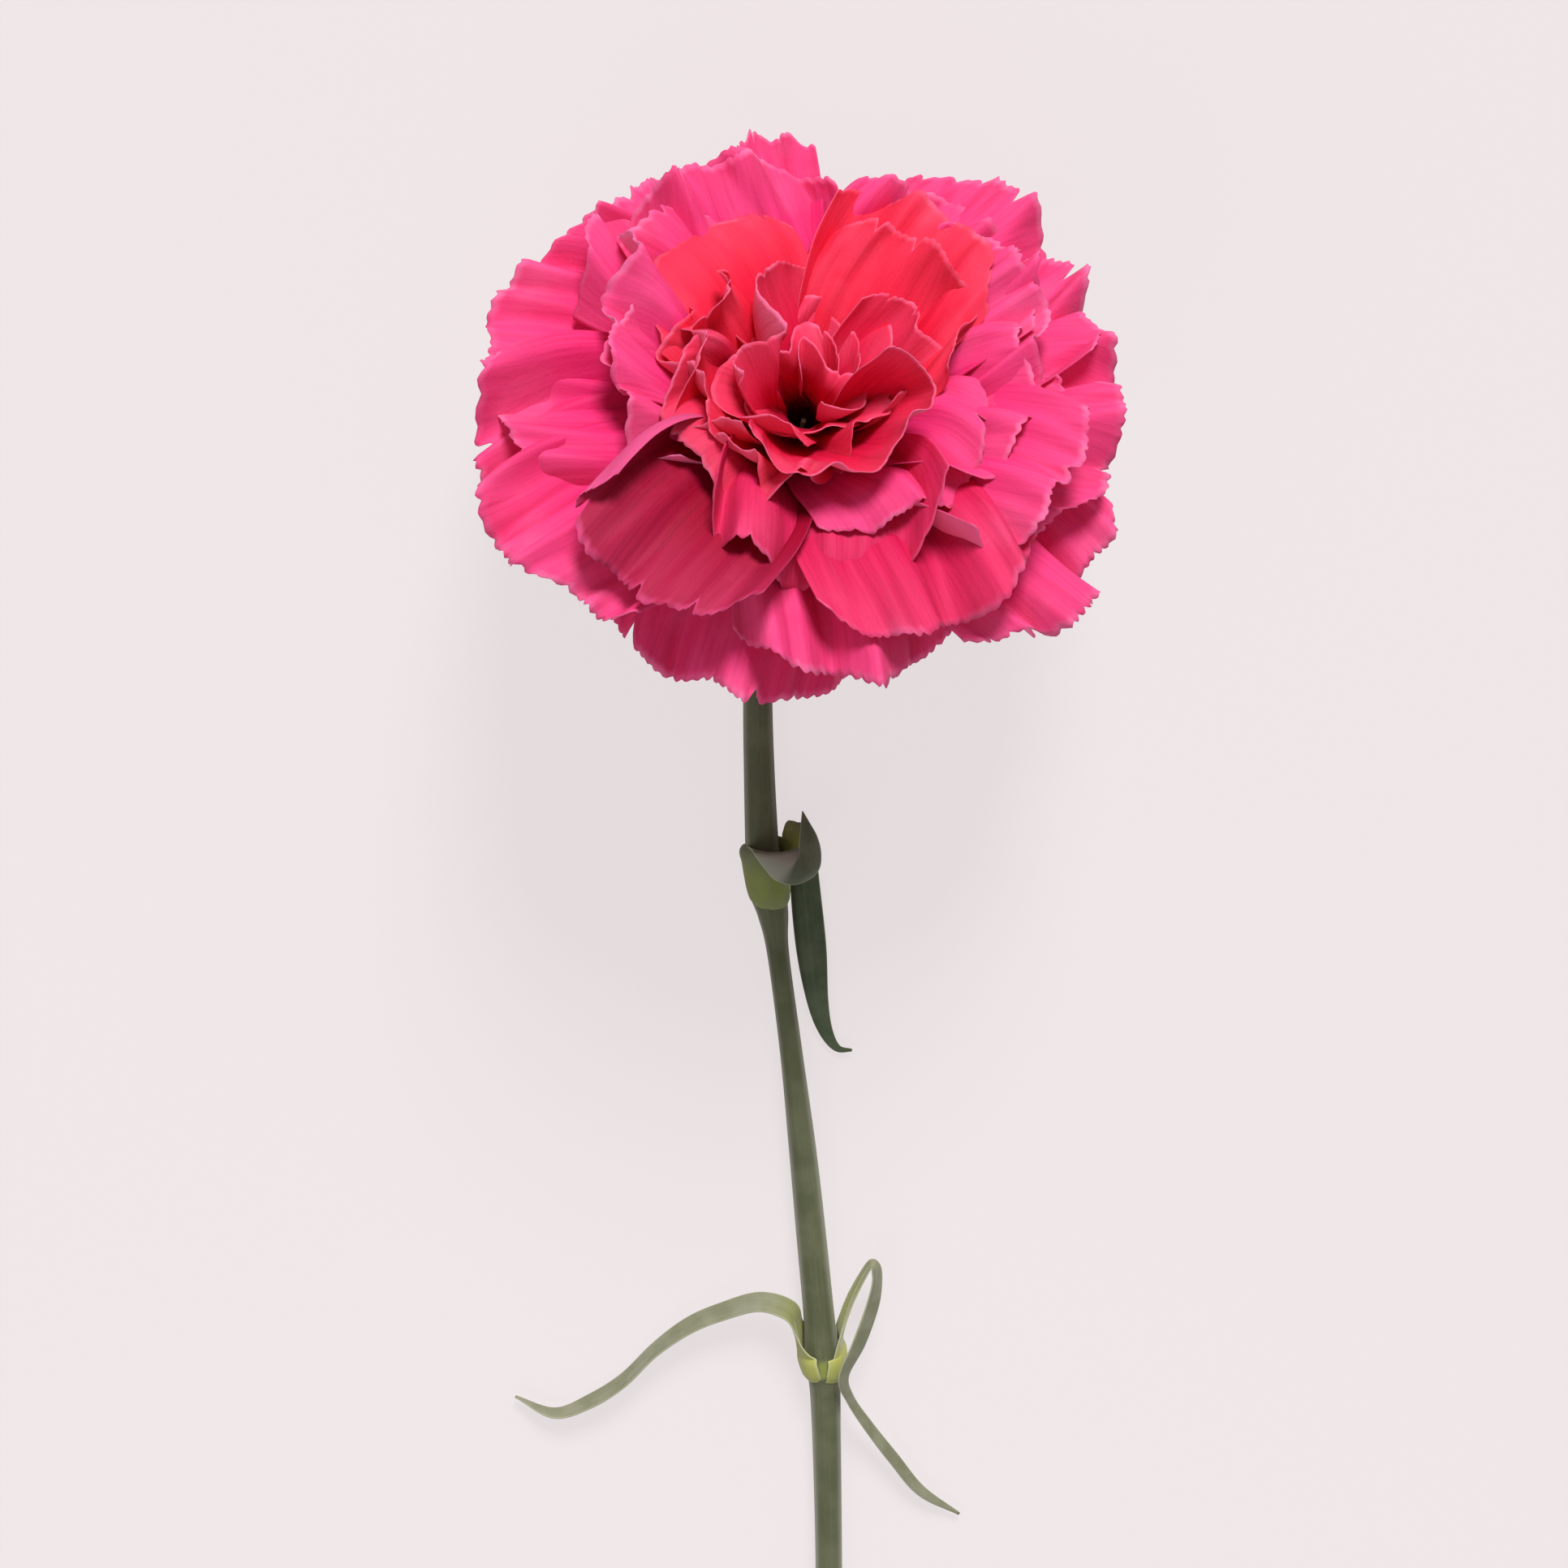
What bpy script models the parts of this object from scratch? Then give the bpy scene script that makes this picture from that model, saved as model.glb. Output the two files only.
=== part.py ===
"""A cut carnation lying on its side.

The stem runs along -Y, the bloom is at +Y and leans up off the surface. Lengths are millimetres until
the last step, which scales them to metres. The bloom is built about its own axis: height is measured
along that axis from the calyx's base, azimuth turns from 0 at the right through 90 at the surface
side, 180 at the left and 270 at the top side.
"""

import math

import bmesh
import bpy
import numpy as np

MM = 0.001

# The bloom's axis: its base, its rise off the surface and its lean towards +X.
BASE = np.array([0.0, 0.0, 8.0])
RISE = math.radians(35)
LEAN = math.radians(10)

# Calyx: a tube with five teeth.
CALYX_MOUTH = 26.0
CALYX_RADII = [(0.0, 2.6), (1.5, 4.6), (5.0, 5.9), (13.0, 6.9), (26.0, 7.9), (31.0, 8.6)]
CALYX_WALL = 0.7
CALYX_FLOOR = 2.4
TEETH = 5
TOOTH_RISE = 4.5

# Petals, from the outermost inwards. A claw stands in the calyx and a blade fans out above it.
PETALS = 36
FIRST_AZIMUTH = 262.0
GOLDEN_ANGLE = 137.508
CLAW_START = 3.2
CLAW_RADII_LOW = (1.7, 4.3)
CLAW_RADII_HIGH = (1.9, 6.7)
BLADE_LENGTHS = (20.0, 41.0)
HALF_WIDTHS = (8.5, 18.0)
TILT_INNER = 5.0
TILT_OUTER = 96.0
TILT_SWING = 6.0
OPENING = 0.92
OPENING_BELOW = 0.5
OPENING_ABOVE = 0.15
BEND_LENGTH = 13.0
HEART_NOD = 7.5
HEART_RADIUS = 14.0
WIDEST_INNER = math.radians(64)
RUFFLE = 1.7
RUFFLES_ROUND = 7
PETAL_THICKNESS = 0.28

# Stem: length below the bloom, radii at its stations, and its two nodes.
STEM_LENGTH = 182.0
NODE_UPPER_Y = -50.0
NODE_LOWER_Y = -123.5
STEM_SIDES = 12

# Leaves: narrow, channelled, each clasping its node with a half sheath.
LEAF_THICKNESS = 0.5
SHEATH_RADIUS = 3.15
LEAF_COLUMNS = 5

# Tones of the pieces: red, green, blue, then roughness.
TONES = {
    "stem": (0.12, 0.14, 0.07, 0.6),
    "calyx": (0.2, 0.27, 0.1, 0.6),
    "bract": (0.2, 0.24, 0.11, 0.6),
    "leaf": (0.11, 0.15, 0.07, 0.6),
    "pistil": (0.5, 0.6, 0.3, 0.5),
    "petal": (0.86, 0.06, 0.17, 0.65),
}


def material(slot):
    """The slot's material, made once and then shared."""
    found = bpy.data.materials.get(slot)
    if found:
        return found
    made = bpy.data.materials.new(slot)
    made.use_nodes = True
    shader = made.node_tree.nodes["Principled BSDF"]
    red, green, blue, rough = TONES[slot]
    shader.inputs["Base Color"].default_value = (red, green, blue, 1.0)
    shader.inputs["Roughness"].default_value = rough
    shader.inputs["Metallic"].default_value = 0.0
    return made


def solid(name, slot, points, faces):
    """A smooth-shaded object from points in millimetres, its faces turned outward."""
    mesh = bpy.data.meshes.new(name)
    mesh.from_pydata([tuple(p * MM) for p in points], [], faces)
    shell = bmesh.new()
    shell.from_mesh(mesh)
    bmesh.ops.recalc_face_normals(shell, faces=shell.faces)
    bmesh.ops.triangulate(shell, faces=shell.faces)
    for face in shell.faces:
        face.smooth = True
    shell.to_mesh(mesh)
    shell.free()
    mesh.materials.append(material(slot))
    made = bpy.data.objects.new(name, mesh)
    bpy.context.scene.collection.objects.link(made)
    return made


def grid_normals(grid):
    """Unit normals at the points of a grid of rows and columns."""
    along = np.gradient(grid, axis=0)
    across = np.gradient(grid, axis=1)
    normals = np.cross(along, across)
    size = np.linalg.norm(normals, axis=2, keepdims=True)
    return normals / np.maximum(size, 1e-9)


def sheet(name, slot, grid, thickness):
    """A closed sheet: the grid is its middle surface."""
    rows, columns = grid.shape[:2]
    offset = grid_normals(grid) * thickness / 2
    points = np.concatenate([(grid + offset).reshape(-1, 3), (grid - offset).reshape(-1, 3)])
    under = rows * columns
    faces = []
    for r in range(rows - 1):
        for c in range(columns - 1):
            a = r * columns + c
            quad = [a, a + 1, a + columns + 1, a + columns]
            faces.append(quad)
            faces.append([under + k for k in reversed(quad)])
    rim = list(range(columns))
    rim += [r * columns + columns - 1 for r in range(1, rows)]
    rim += [(rows - 1) * columns + c for c in range(columns - 2, -1, -1)]
    rim += [r * columns for r in range(rows - 2, 0, -1)]
    for k, a in enumerate(rim):
        b = rim[(k + 1) % len(rim)]
        faces.append([b, a, under + a, under + b])
    return solid(name, slot, points, faces)


def bloom_axes():
    """Unit vectors: right, towards the surface, and along the bloom's axis."""
    axis = np.array(
        [
            math.sin(LEAN) * math.cos(RISE),
            math.cos(LEAN) * math.cos(RISE),
            math.sin(RISE),
        ]
    )
    right = np.array([math.cos(LEAN), -math.sin(LEAN), 0.0])
    down = np.cross(axis, right)
    if down[2] > 0:
        down = -down
    return right, down, axis


def smooth(x):
    x = np.clip(x, 0.0, 1.0)
    return x * x * (3 - 2 * x)


def in_bloom(height, radius, azimuth):
    """Points from height along the bloom's axis, radius and azimuth in radians.

    The heart of the bloom nods: high up and near the axis it leans off the surface.
    """
    right, down, axis = bloom_axes()
    height = np.asarray(height)[..., None]
    radius = np.asarray(radius)[..., None]
    azimuth = np.asarray(azimuth)[..., None]
    outward = np.cos(azimuth) * right + np.sin(azimuth) * down
    nod = HEART_NOD * smooth((height - CALYX_MOUTH) / 18.0) * np.exp(-(radius / HEART_RADIUS) ** 2)
    return BASE + height * axis + radius * outward - nod * down


def lay(points):
    """Presses what would sink below the surface into a thin layer just above it."""
    knee = 3.2
    low = points[..., 2] < knee
    pressed = knee * np.exp((points[..., 2] - knee) / knee)
    points = points.copy()
    points[..., 2] = np.where(low, pressed, points[..., 2])
    return points


def blade_curve(nest, azimuth, reach):
    """Radius and height above the mouth after each reach along a petal's blade.

    nest is 0 for the innermost layer and 1 for the outermost. At each azimuth the layers' tilts rise
    with nest, so one layer never crosses another.
    """
    steps = 40
    tilt_end = TILT_OUTER - TILT_SWING * np.sin(azimuth)
    spread = OPENING - OPENING_BELOW * np.maximum(np.sin(azimuth), 0.0)
    spread = spread - OPENING_ABOVE * np.maximum(-np.sin(azimuth), 0.0)
    tilt_end = TILT_INNER + (tilt_end - TILT_INNER) * nest**spread
    fine = np.linspace(0, 1, steps + 1)[:, None, None] * reach
    tilt = tilt_end * smooth(fine / BEND_LENGTH) + 7.0 * nest * (fine / 38.0) ** 2
    tilt = np.radians(tilt)
    step = reach / steps
    middle = (tilt[1:] + tilt[:-1]) / 2
    radius = CLAW_RADII_HIGH[0] + (CLAW_RADII_HIGH[1] - CLAW_RADII_HIGH[0]) * nest
    out = radius + (np.sin(middle) * step).sum(axis=0)
    up = (np.cos(middle) * step).sum(axis=0)
    return out, up, tilt[-1]


def petal_grid(index):
    """The middle surface of one petal; index 0 is the outermost."""
    nest = 1 - index / (PETALS - 1)
    centre = math.radians(FIRST_AZIMUTH + GOLDEN_ANGLE * index)
    length = BLADE_LENGTHS[0] + (BLADE_LENGTHS[1] - BLADE_LENGTHS[0]) * nest**0.8
    widest = HALF_WIDTHS[0] + (HALF_WIDTHS[1] - HALF_WIDTHS[0]) * nest**0.8
    columns = 9 if index < 12 else 7
    across = np.linspace(-1, 1, columns)[None, :]
    teeth = 1 - 0.022 * (np.arange(columns) % 2)[None, :]
    margin = (1 - 0.15 * np.abs(across) ** 2.4) * teeth
    share = np.array([0.0, 0.1, 0.21, 0.34, 0.52, 0.76, 1.0])[:, None]
    reach = share * length * (1 + (margin - 1) * smooth(share))
    half = 1.3 + (widest - 1.3) * np.sin(np.minimum(share * 1.9, 1.45)) * smooth(share * 2.3)
    azimuth = np.full_like(reach, centre)
    limit = WIDEST_INNER
    claw_limit = math.radians(21)
    for _ in range(3):
        out, up, tilt = blade_curve(nest, azimuth, reach)
        bound = claw_limit + (limit - claw_limit) * smooth(share * 1.8)
        azimuth = centre + across * bound * np.tanh(half / (out * bound))
    room = np.minimum(1.0, out / 24.0)
    wave = np.sin(RUFFLES_ROUND * azimuth + 7.5 * nest)
    lift = RUFFLE * room * share**1.8 * wave
    out = out - lift * np.cos(tilt)
    up = up + lift * np.sin(tilt)
    blade = in_bloom(CALYX_MOUTH + up, out, azimuth)
    claw_share = np.array([0.0, 0.5])[:, None]
    low = CLAW_RADII_LOW[0] + (CLAW_RADII_LOW[1] - CLAW_RADII_LOW[0]) * nest
    high = CLAW_RADII_HIGH[0] + (CLAW_RADII_HIGH[1] - CLAW_RADII_HIGH[0]) * nest
    claw_out = low + (high - low) * claw_share + 0 * across
    claw_up = CLAW_START + (CALYX_MOUTH - CLAW_START) * claw_share + 0 * across
    claw_half = 0.8 + 0.3 * claw_share
    claw_turn = across * claw_limit * np.tanh(claw_half / (claw_out * claw_limit))
    claw = in_bloom(claw_up, claw_out, centre + claw_turn)
    return lay(np.concatenate([claw, blade]))


def build_petals():
    for index in range(PETALS):
        sheet(f"petal_{index + 1:02d}", "petal", petal_grid(index), PETAL_THICKNESS)


def calyx_radius(height):
    heights = [h for h, _ in CALYX_RADII]
    radii = [r for _, r in CALYX_RADII]
    return np.interp(height, heights, radii)


def build_calyx():
    """A cup: outer rings up to the toothed rim, then inner rings down to its floor."""
    sides = 30
    turn = np.arange(sides) * 2 * math.pi / sides
    tooth = (0.5 + 0.5 * np.cos(TEETH * turn)) ** 1.5
    rim = CALYX_MOUTH + TOOTH_RISE * tooth
    rings = [in_bloom(0 * turn, 0 * turn + calyx_radius(0.0), turn)]
    for share in (0.06, 0.19, 0.45, 0.75, 1.0):
        height = rim * share
        rings.append(in_bloom(height, calyx_radius(height), turn))
    for share in (1.0, 0.7, 0.35, 0.12, 0.0):
        height = CALYX_FLOOR + (rim - CALYX_FLOOR) * share
        rings.append(in_bloom(height, calyx_radius(height) - CALYX_WALL, turn))
    points = np.concatenate(rings + [in_bloom([0.0, CALYX_FLOOR], [0.0, 0.0], [0.0, 0.0])])
    faces = []
    for ring in range(len(rings) - 1):
        for k in range(sides):
            a = ring * sides + k
            b = ring * sides + (k + 1) % sides
            faces.append([a, b, b + sides, a + sides])
    last = (len(rings) - 1) * sides
    bottom = len(rings) * sides
    for k in range(sides):
        after = (k + 1) % sides
        faces.append([bottom, after, k])
        faces.append([bottom + 1, last + k, last + after])
    solid("calyx", "calyx", points, faces)


def build_bracts():
    """Four scales pressed to the calyx's base, two inside two."""
    for k in range(4):
        share = np.linspace(0, 1, 5)[:, None]
        across = np.linspace(-1, 1, 5)[None, :]
        width = np.sqrt(np.maximum(1.0 - share**2, 0.006))
        height = 1.8 + 8.6 * share - 1.2 * share * width * np.abs(across)
        clear = 0.62 + 0.75 * (k % 2)
        radius = calyx_radius(height) + clear + 0 * across
        azimuth = math.radians(20 + 90 * k) + math.radians(50) * width * across
        grid = in_bloom(height, radius, azimuth)
        sheet(f"bract_{k + 1}", "bract", grid, 0.42)


def build_pistil():
    """The ovary with its styles held together, inside the petals."""
    sides = 8
    profile = [(3.0, 0.5), (4.5, 1.0), (8.0, 1.2), (12.0, 0.75), (20.0, 0.4), (33.0, 0.3)]
    turn = np.arange(sides) * 2 * math.pi / sides
    rings = [in_bloom(h + 0 * turn, r + 0 * turn, turn) for h, r in profile]
    tips = in_bloom([profile[0][0], profile[-1][0] + 0.4], [0.0, 0.0], [0.0, 0.0])
    faces = tube_faces(len(rings), sides)
    solid("pistil", "pistil", np.concatenate(rings + [tips]), faces)


def tube_faces(rings, sides):
    """Faces of a tube closed by a point at each end; the two points come after the rings."""
    faces = []
    for ring in range(rings - 1):
        for k in range(sides):
            a = ring * sides + k
            b = ring * sides + (k + 1) % sides
            faces.append([a, b, b + sides, a + sides])
    start = rings * sides
    last = (rings - 1) * sides
    for k in range(sides):
        after = (k + 1) % sides
        faces.append([start, after, k])
        faces.append([start + 1, last + k, last + after])
    return faces


def curve_through(stations, per_span):
    """Catmull-Rom interpolation of rows of numbers, each span cut into per_span steps."""
    rows = np.array(stations, dtype=float)
    padded = np.concatenate([[2 * rows[0] - rows[1]], rows, [2 * rows[-1] - rows[-2]]])
    out = []
    for k in range(len(rows) - 1):
        a, b, c, d = padded[k : k + 4]
        for step in range(per_span):
            t = step / per_span
            out.append(
                0.5 * (2 * b + (c - a) * t + (2 * a - 5 * b + 4 * c - d) * t**2)
                + 0.5 * (3 * b - a - 3 * c + d) * t**3
            )
    out.append(rows[-1])
    return np.array(out)


def stem_stations():
    """Position and radius down the stem, from just under the calyx to the cut end."""
    _, _, axis = bloom_axes()
    top = BASE - 0.3 * axis
    neck = BASE - 6.5 * axis
    return [
        (*top, 2.0),
        (*neck, 1.7),
        (-1.7, -14.0, 3.3, 1.85),
        (-1.9, -23.0, 3.2, 2.05),
        (-1.7, -34.0, 3.2, 2.2),
        (-1.3, NODE_UPPER_Y + 5.0, 3.4, 2.3),
        (-0.7, NODE_UPPER_Y, 3.45, 2.55),
        (0.1, NODE_UPPER_Y - 4.0, 3.4, 2.1),
        (0.8, NODE_UPPER_Y - 10.0, 3.3, 1.6),
        (2.6, -75.0, 3.1, 1.65),
        (4.2, -90.0, 3.0, 1.9),
        (5.5, -104.0, 3.1, 2.1),
        (6.6, NODE_LOWER_Y + 7.0, 3.35, 2.2),
        (7.1, NODE_LOWER_Y, 3.45, 2.55),
        (7.5, NODE_LOWER_Y - 5.5, 3.1, 2.15),
        (8.0, -150.0, 2.5, 1.95),
        (8.4, -STEM_LENGTH, 1.95, 1.9),
    ]


def stem_axis_at(y):
    """The stem's centre at this y, below the neck."""
    rows = np.array(stem_stations())[:, :3]
    return np.array([np.interp(-y, -rows[:, 1], rows[:, k]) for k in range(3)])


def build_stem():
    """A round stem swollen at its nodes; the lower end is a slanting cut."""
    line = curve_through(stem_stations(), 2)
    ahead = np.gradient(line[:, :3], axis=0)
    ahead /= np.linalg.norm(ahead, axis=1, keepdims=True)
    turn = np.arange(STEM_SIDES) * 2 * math.pi / STEM_SIDES
    side = np.cross(ahead, [0.0, 0.0, 1.0])
    side /= np.linalg.norm(side, axis=1, keepdims=True)
    top = np.cross(side, ahead)
    ring = side[:, None] * np.cos(turn)[:, None] + top[:, None] * np.sin(turn)[:, None]
    points = line[:, None, :3] + ring * line[:, None, 3:]
    slant = np.sin(turn)[:, None] * 1.6 * ahead[-1]
    points[-1] += slant
    tips = np.array([line[0, :3], line[-1, :3]])
    points = np.concatenate([points.reshape(-1, 3), tips])
    solid("stem", "stem", points, tube_faces(len(line), STEM_SIDES))


def sheath(node_y, outward, length):
    """Stations of a half sheath: middle point, inward normal, half width and curl radius."""
    angle = math.radians(outward)
    away = np.array([math.cos(angle), 0.0, math.sin(angle)])
    half = SHEATH_RADIUS * math.radians(80)
    rows = []
    for share in (0.0, 0.5, 1.0):
        y = node_y - 2.5 + length * share
        middle = stem_axis_at(y) + away * SHEATH_RADIUS
        rows.append((*middle, *-away, half * (1 - 0.12 * share), SHEATH_RADIUS))
    return rows


def leaf(name, stations, per_span):
    """A leaf swept along its stations, channelled across and drawn out to a point."""
    rows = curve_through(stations, per_span)
    middle = rows[:, :3]
    ahead = np.gradient(middle, axis=0)
    ahead /= np.linalg.norm(ahead, axis=1, keepdims=True)
    inward = rows[:, 3:6]
    inward = inward - ahead * (inward * ahead).sum(axis=1, keepdims=True)
    inward /= np.linalg.norm(inward, axis=1, keepdims=True)
    side = np.cross(ahead, inward)
    half = np.maximum(rows[:, 6:7], 0.22)
    curl = rows[:, 7:8]
    angle = np.linspace(-1, 1, LEAF_COLUMNS)[None, :] * half / curl
    rise = (curl * (1 - np.cos(angle)))[..., None]
    spread = (curl * np.sin(angle))[..., None]
    grid = middle[:, None] + inward[:, None] * rise + side[:, None] * spread
    sheet(name, "leaf", grid, LEAF_THICKNESS)


def build_leaves():
    """Two leaves at each node, on opposite sides."""
    hanging = sheath(NODE_UPPER_Y, -42, 6.0) + [
        (3.5, -44.2, 2.3, -0.7, 0.0, 0.7, 1.8, 4.0),
        (4.0, -41.6, 3.2, -0.5, 0.1, 0.9, 2.1, 5.0),
        (4.7, -40.2, 3.3, -0.1, 0.9, 0.5, 1.9, 6.0),
        (5.1, -40.5, 2.2, 0.1, 0.8, -0.6, 1.9, 6.0),
        (5.2, -43.5, 1.35, 0.0, 0.0, -1.0, 2.0, 7.0),
        (4.7, -50.0, 1.3, 0.0, 0.0, -1.0, 2.15, 7.0),
        (5.3, -60.0, 1.25, 0.0, 0.0, -1.0, 2.1, 7.0),
        (6.2, -67.5, 1.15, 0.0, 0.0, -1.0, 1.5, 7.0),
        (7.3, -71.8, 1.0, 0.0, 0.0, -1.0, 1.0, 7.0),
        (8.9, -74.4, 0.95, 0.0, 0.0, -1.0, 0.55, 7.0),
        (11.0, -74.8, 0.9, 0.0, 0.0, -1.0, 0.2, 7.0),
    ]
    leaf("leaf_upper_hanging", hanging, 2)
    folded = sheath(NODE_UPPER_Y, 138, 5.0) + [
        (-3.2, -45.6, 6.9, 0.6, 0.2, -0.8, 2.8, 4.0),
        (-2.5, -44.4, 8.3, 0.1, 1.0, 0.1, 2.1, 6.0),
        (-0.9, -45.4, 9.0, -0.1, 0.3, 1.0, 1.7, 8.0),
        (1.4, -47.8, 8.9, 0.1, 0.0, 1.0, 1.6, 8.0),
        (3.6, -48.4, 8.6, 0.1, 0.0, 1.0, 1.7, 8.0),
        (5.6, -46.4, 8.0, 0.1, 0.0, 1.0, 1.9, 6.0),
        (6.3, -43.2, 7.6, 0.1, 0.0, 1.0, 1.6, 5.0),
        (5.6, -39.8, 7.3, 0.1, 0.0, 1.0, 0.9, 5.0),
        (4.6, -37.2, 7.0, 0.1, 0.0, 1.0, 0.25, 5.0),
    ]
    leaf("leaf_upper_folded", folded, 2)
    left = sheath(NODE_LOWER_Y, 180, 5.0) + [
        (3.3, -117.8, 4.2, 1.0, 0.1, 0.2, 2.7, 4.0),
        (2.2, -114.6, 4.6, 0.6, 0.6, 0.5, 2.2, 5.0),
        (-1.9, -113.3, 4.3, 0.1, 0.75, 0.65, 1.9, 8.0),
        (-7.1, -115.1, 3.8, -0.3, 0.7, 0.6, 1.9, 9.0),
        (-11.8, -117.5, 3.5, -0.4, 0.75, 0.5, 1.9, 9.0),
        (-16.6, -121.5, 3.2, -0.55, 0.75, 0.3, 1.9, 9.0),
        (-21.3, -126.8, 2.8, -0.6, 0.75, 0.3, 1.8, 9.0),
        (-26.2, -130.5, 2.3, -0.5, 0.8, 0.3, 1.7, 9.0),
        (-31.3, -132.6, 1.8, -0.1, 1.0, 0.2, 1.3, 9.0),
        (-36.8, -130.2, 1.2, 0.4, 0.9, 0.1, 0.3, 9.0),
    ]
    leaf("leaf_lower_left", left, 2)
    right = sheath(NODE_LOWER_Y, 0, 5.0) + [
        (9.9, -118.5, 4.2, -1.0, 0.1, 0.1, 2.3, 4.0),
        (10.9, -113.0, 5.0, -1.0, 0.2, 0.2, 1.6, 6.0),
        (12.7, -108.3, 5.8, -0.9, 0.4, 0.2, 1.4, 9.0),
        (13.9, -106.4, 6.1, 0.0, 1.0, 0.2, 1.4, 9.0),
        (14.7, -108.2, 6.1, 1.0, 0.2, 0.2, 1.4, 9.0),
        (14.3, -112.6, 6.3, 1.0, -0.1, 0.3, 1.5, 9.0),
        (12.3, -118.6, 6.6, 0.9, -0.3, 0.5, 1.6, 9.0),
        (10.0, -123.8, 6.8, 0.8, -0.1, 0.6, 1.6, 9.0),
        (11.0, -128.0, 5.2, 0.7, 0.2, 0.7, 1.6, 9.0),
        (13.6, -132.6, 3.7, 0.6, 0.4, 0.7, 1.6, 9.0),
        (17.3, -138.0, 2.5, 0.5, 0.4, 0.8, 1.5, 9.0),
        (21.3, -143.6, 1.7, 0.5, 0.4, 0.8, 1.3, 9.0),
        (26.9, -147.9, 0.9, 0.1, 0.3, 1.0, 0.25, 9.0),
    ]
    leaf("leaf_lower_right", right, 2)


def settle():
    """Moves the whole flower so that it stands on z = 0 with its box centred on the origin."""
    made = [o for o in bpy.context.scene.objects if o.type == "MESH"]
    corners = np.concatenate([np.array([v.co[:] for v in o.data.vertices]) for o in made])
    low = corners.min(axis=0)
    high = corners.max(axis=0)
    shift = np.array([-(low[0] + high[0]) / 2, -(low[1] + high[1]) / 2, -low[2]])
    for obj in made:
        for vertex in obj.data.vertices:
            vertex.co = vertex.co + type(vertex.co)(shift)
        obj.data.update()


def main():
    for obj in list(bpy.data.objects):
        bpy.data.objects.remove(obj, do_unlink=True)
    build_stem()
    build_calyx()
    build_bracts()
    build_pistil()
    build_leaves()
    build_petals()
    settle()


main()
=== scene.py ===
"""A cut carnation lying on a pale table, seen from above.

Lengths in the shape code are millimetres in the flower's own layout: the calyx's base stands over the
origin, the stem runs along -Y and the bloom leans up towards +Y. to_frame() moves that layout onto the
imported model. In the bloom, height is measured along its axis from the calyx's base, and azimuth turns
from 0 at the right through 90 at the table side, 180 at the left and 270 at the top side.
"""

import math
import random

import bmesh
import bpy
import numpy as np
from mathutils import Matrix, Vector


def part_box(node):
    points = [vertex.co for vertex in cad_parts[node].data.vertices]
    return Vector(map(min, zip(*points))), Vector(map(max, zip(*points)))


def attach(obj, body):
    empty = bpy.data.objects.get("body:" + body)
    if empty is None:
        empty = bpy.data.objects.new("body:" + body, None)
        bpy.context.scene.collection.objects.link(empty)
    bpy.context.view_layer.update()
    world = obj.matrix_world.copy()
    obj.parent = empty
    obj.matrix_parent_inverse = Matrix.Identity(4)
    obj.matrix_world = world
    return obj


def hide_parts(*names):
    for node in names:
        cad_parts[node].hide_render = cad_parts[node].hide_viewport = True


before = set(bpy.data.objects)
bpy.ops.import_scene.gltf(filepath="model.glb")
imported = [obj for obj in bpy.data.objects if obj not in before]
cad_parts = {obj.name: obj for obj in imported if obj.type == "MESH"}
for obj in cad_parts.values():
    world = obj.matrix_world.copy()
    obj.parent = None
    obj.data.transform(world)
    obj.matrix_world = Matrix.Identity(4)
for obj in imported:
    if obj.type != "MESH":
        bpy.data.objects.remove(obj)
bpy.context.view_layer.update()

MM = 0.001

# The bloom's axis, and where its base lies from the low corner of the calyx's box.
BASE = np.array([0.0, 0.0, 8.0])
BASE_IN_CALYX_BOX = np.array([5.093, 1.536, 2.862])
RISE = math.radians(35)
LEAN = math.radians(10)

# Calyx.
CALYX_MOUTH = 26.0
CALYX_RADII = [(0.0, 2.6), (1.5, 4.6), (5.0, 5.9), (13.0, 6.9), (26.0, 7.9), (31.0, 8.6)]
CALYX_WALL = 0.6
CALYX_FLOOR = 2.4
TEETH = 5
TOOTH_RISE = 4.6

# Petals, outermost first.
PETALS = 36
FIRST_AZIMUTH = 262.0
GOLDEN_ANGLE = 137.508
CLAW_START = 3.2
CLAW_RADII_LOW = (1.7, 4.3)
CLAW_RADII_HIGH = (1.9, 6.7)
BLADE_LENGTHS = (19.0, 39.8)
HALF_WIDTHS = (12.5, 18.5)
TILT_INNER = 5.0
TILT_OUTER = 96.0
TILT_SWING = 6.0
OPENING = 0.92
OPENING_BELOW = 0.5
OPENING_ABOVE = 0.4
BEND_LENGTH = 13.0
HEART_NOD = 7.5
HEART_RADIUS = 14.0
PETAL_THICKNESS = 0.22

# Stem and leaves.
NODE_UPPER_Y = -50.0
NODE_LOWER_Y = -123.5
STEM_END_Y = -182.0
SHEATH_RADIUS = 3.15

# Camera and table.
CAMERA_TILT = math.radians(22)
CAMERA_LENS = 105.0
CAMERA_SENSOR = 36.0
CAMERA_REACH = 575.0
AIM_LEFT = 2.4
AIM_BELOW = 45.6


def bloom_axes():
    """Unit vectors: right, towards the table, and along the bloom's axis."""
    axis = np.array(
        [math.sin(LEAN) * math.cos(RISE), math.cos(LEAN) * math.cos(RISE), math.sin(RISE)]
    )
    right = np.array([math.cos(LEAN), -math.sin(LEAN), 0.0])
    down = np.cross(axis, right)
    if down[2] > 0:
        down = -down
    return right, down, axis


RIGHT, DOWN, AXIS = bloom_axes()
SHIFT = np.array(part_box("calyx")[0]) / MM + BASE_IN_CALYX_BOX - BASE


def to_frame(points):
    """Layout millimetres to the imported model's metres."""
    return (np.asarray(points) + SHIFT) * MM


def smooth(x):
    x = np.clip(x, 0.0, 1.0)
    return x * x * (3 - 2 * x)


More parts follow.
